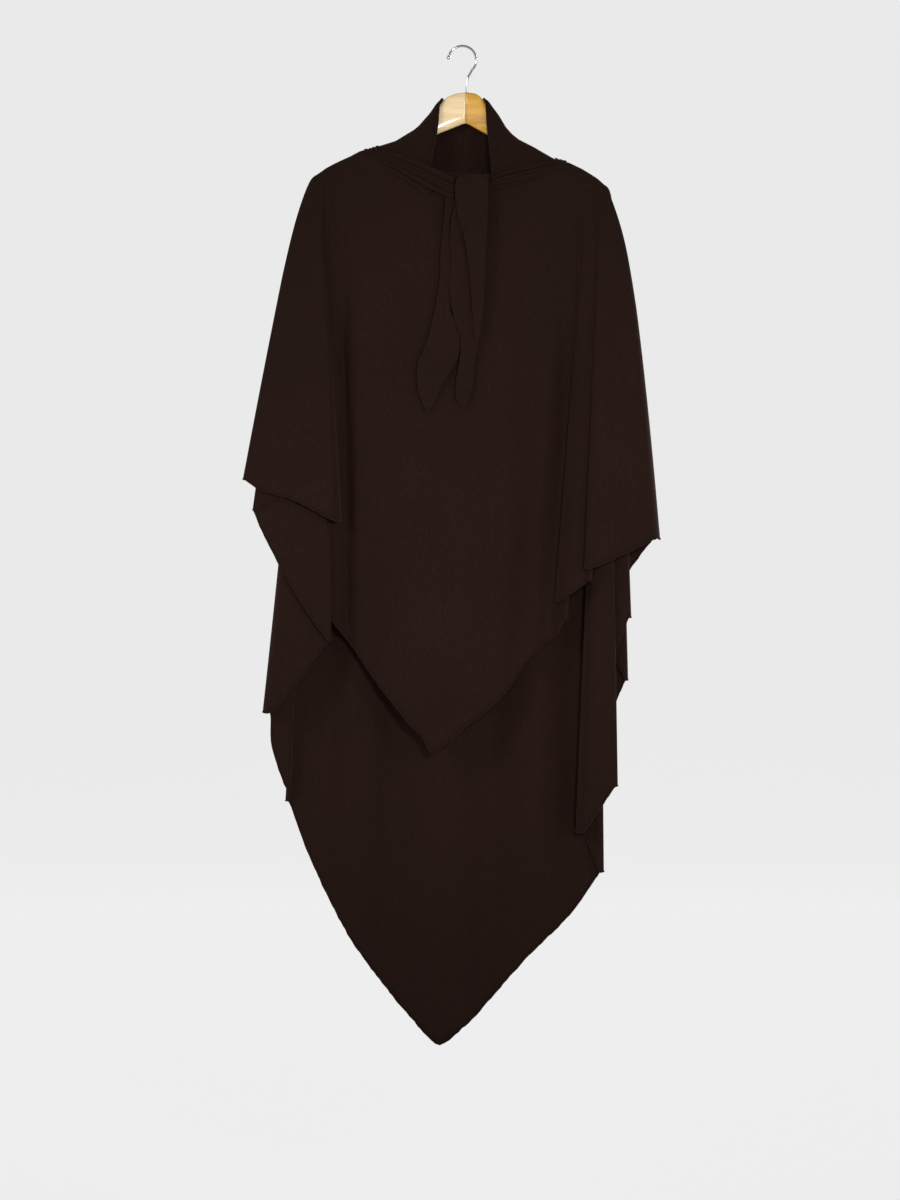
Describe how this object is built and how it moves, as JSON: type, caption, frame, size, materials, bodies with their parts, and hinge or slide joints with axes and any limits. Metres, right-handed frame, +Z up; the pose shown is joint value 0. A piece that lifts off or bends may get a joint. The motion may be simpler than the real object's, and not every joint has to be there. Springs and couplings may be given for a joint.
{
  "type": "khimar veil on a clothes hanger",
  "caption": "Long dark brown crepe khimar veil with knotted ties, hung on a varnished wooden clothes hanger with a chrome hook",
  "frame": {"origin": "inner top of the hook, where the rail goes, in the middle of the wire's depth", "axes": "+Z up, +X to the viewer's right when the front is seen, front of the veil towards -Y"},
  "size_m": [0.6039, 0.1019, 1.4556],
  "materials": {
    "crepe_cloth": "matt crinkled crepe, dark chocolate brown",
    "pale_wood": "glossy clear varnish on pale wood",
    "golden_wood": "glossy clear varnish on golden wood",
    "chrome_wire": "polished chrome plate"
  },
  "bodies": {
    "root": {"cape_front": "crepe_cloth", "cape_back": "crepe_cloth", "hood_front": "crepe_cloth", "strap_left": "crepe_cloth", "strap_right": "crepe_cloth", "tie_knot": "crepe_cloth", "tail_left": "crepe_cloth", "tail_right": "crepe_cloth", "hanger_arm_left": "pale_wood", "hanger_arm_right": "golden_wood", "hanger_hook": "chrome_wire"}
  },
  "joints": []
}
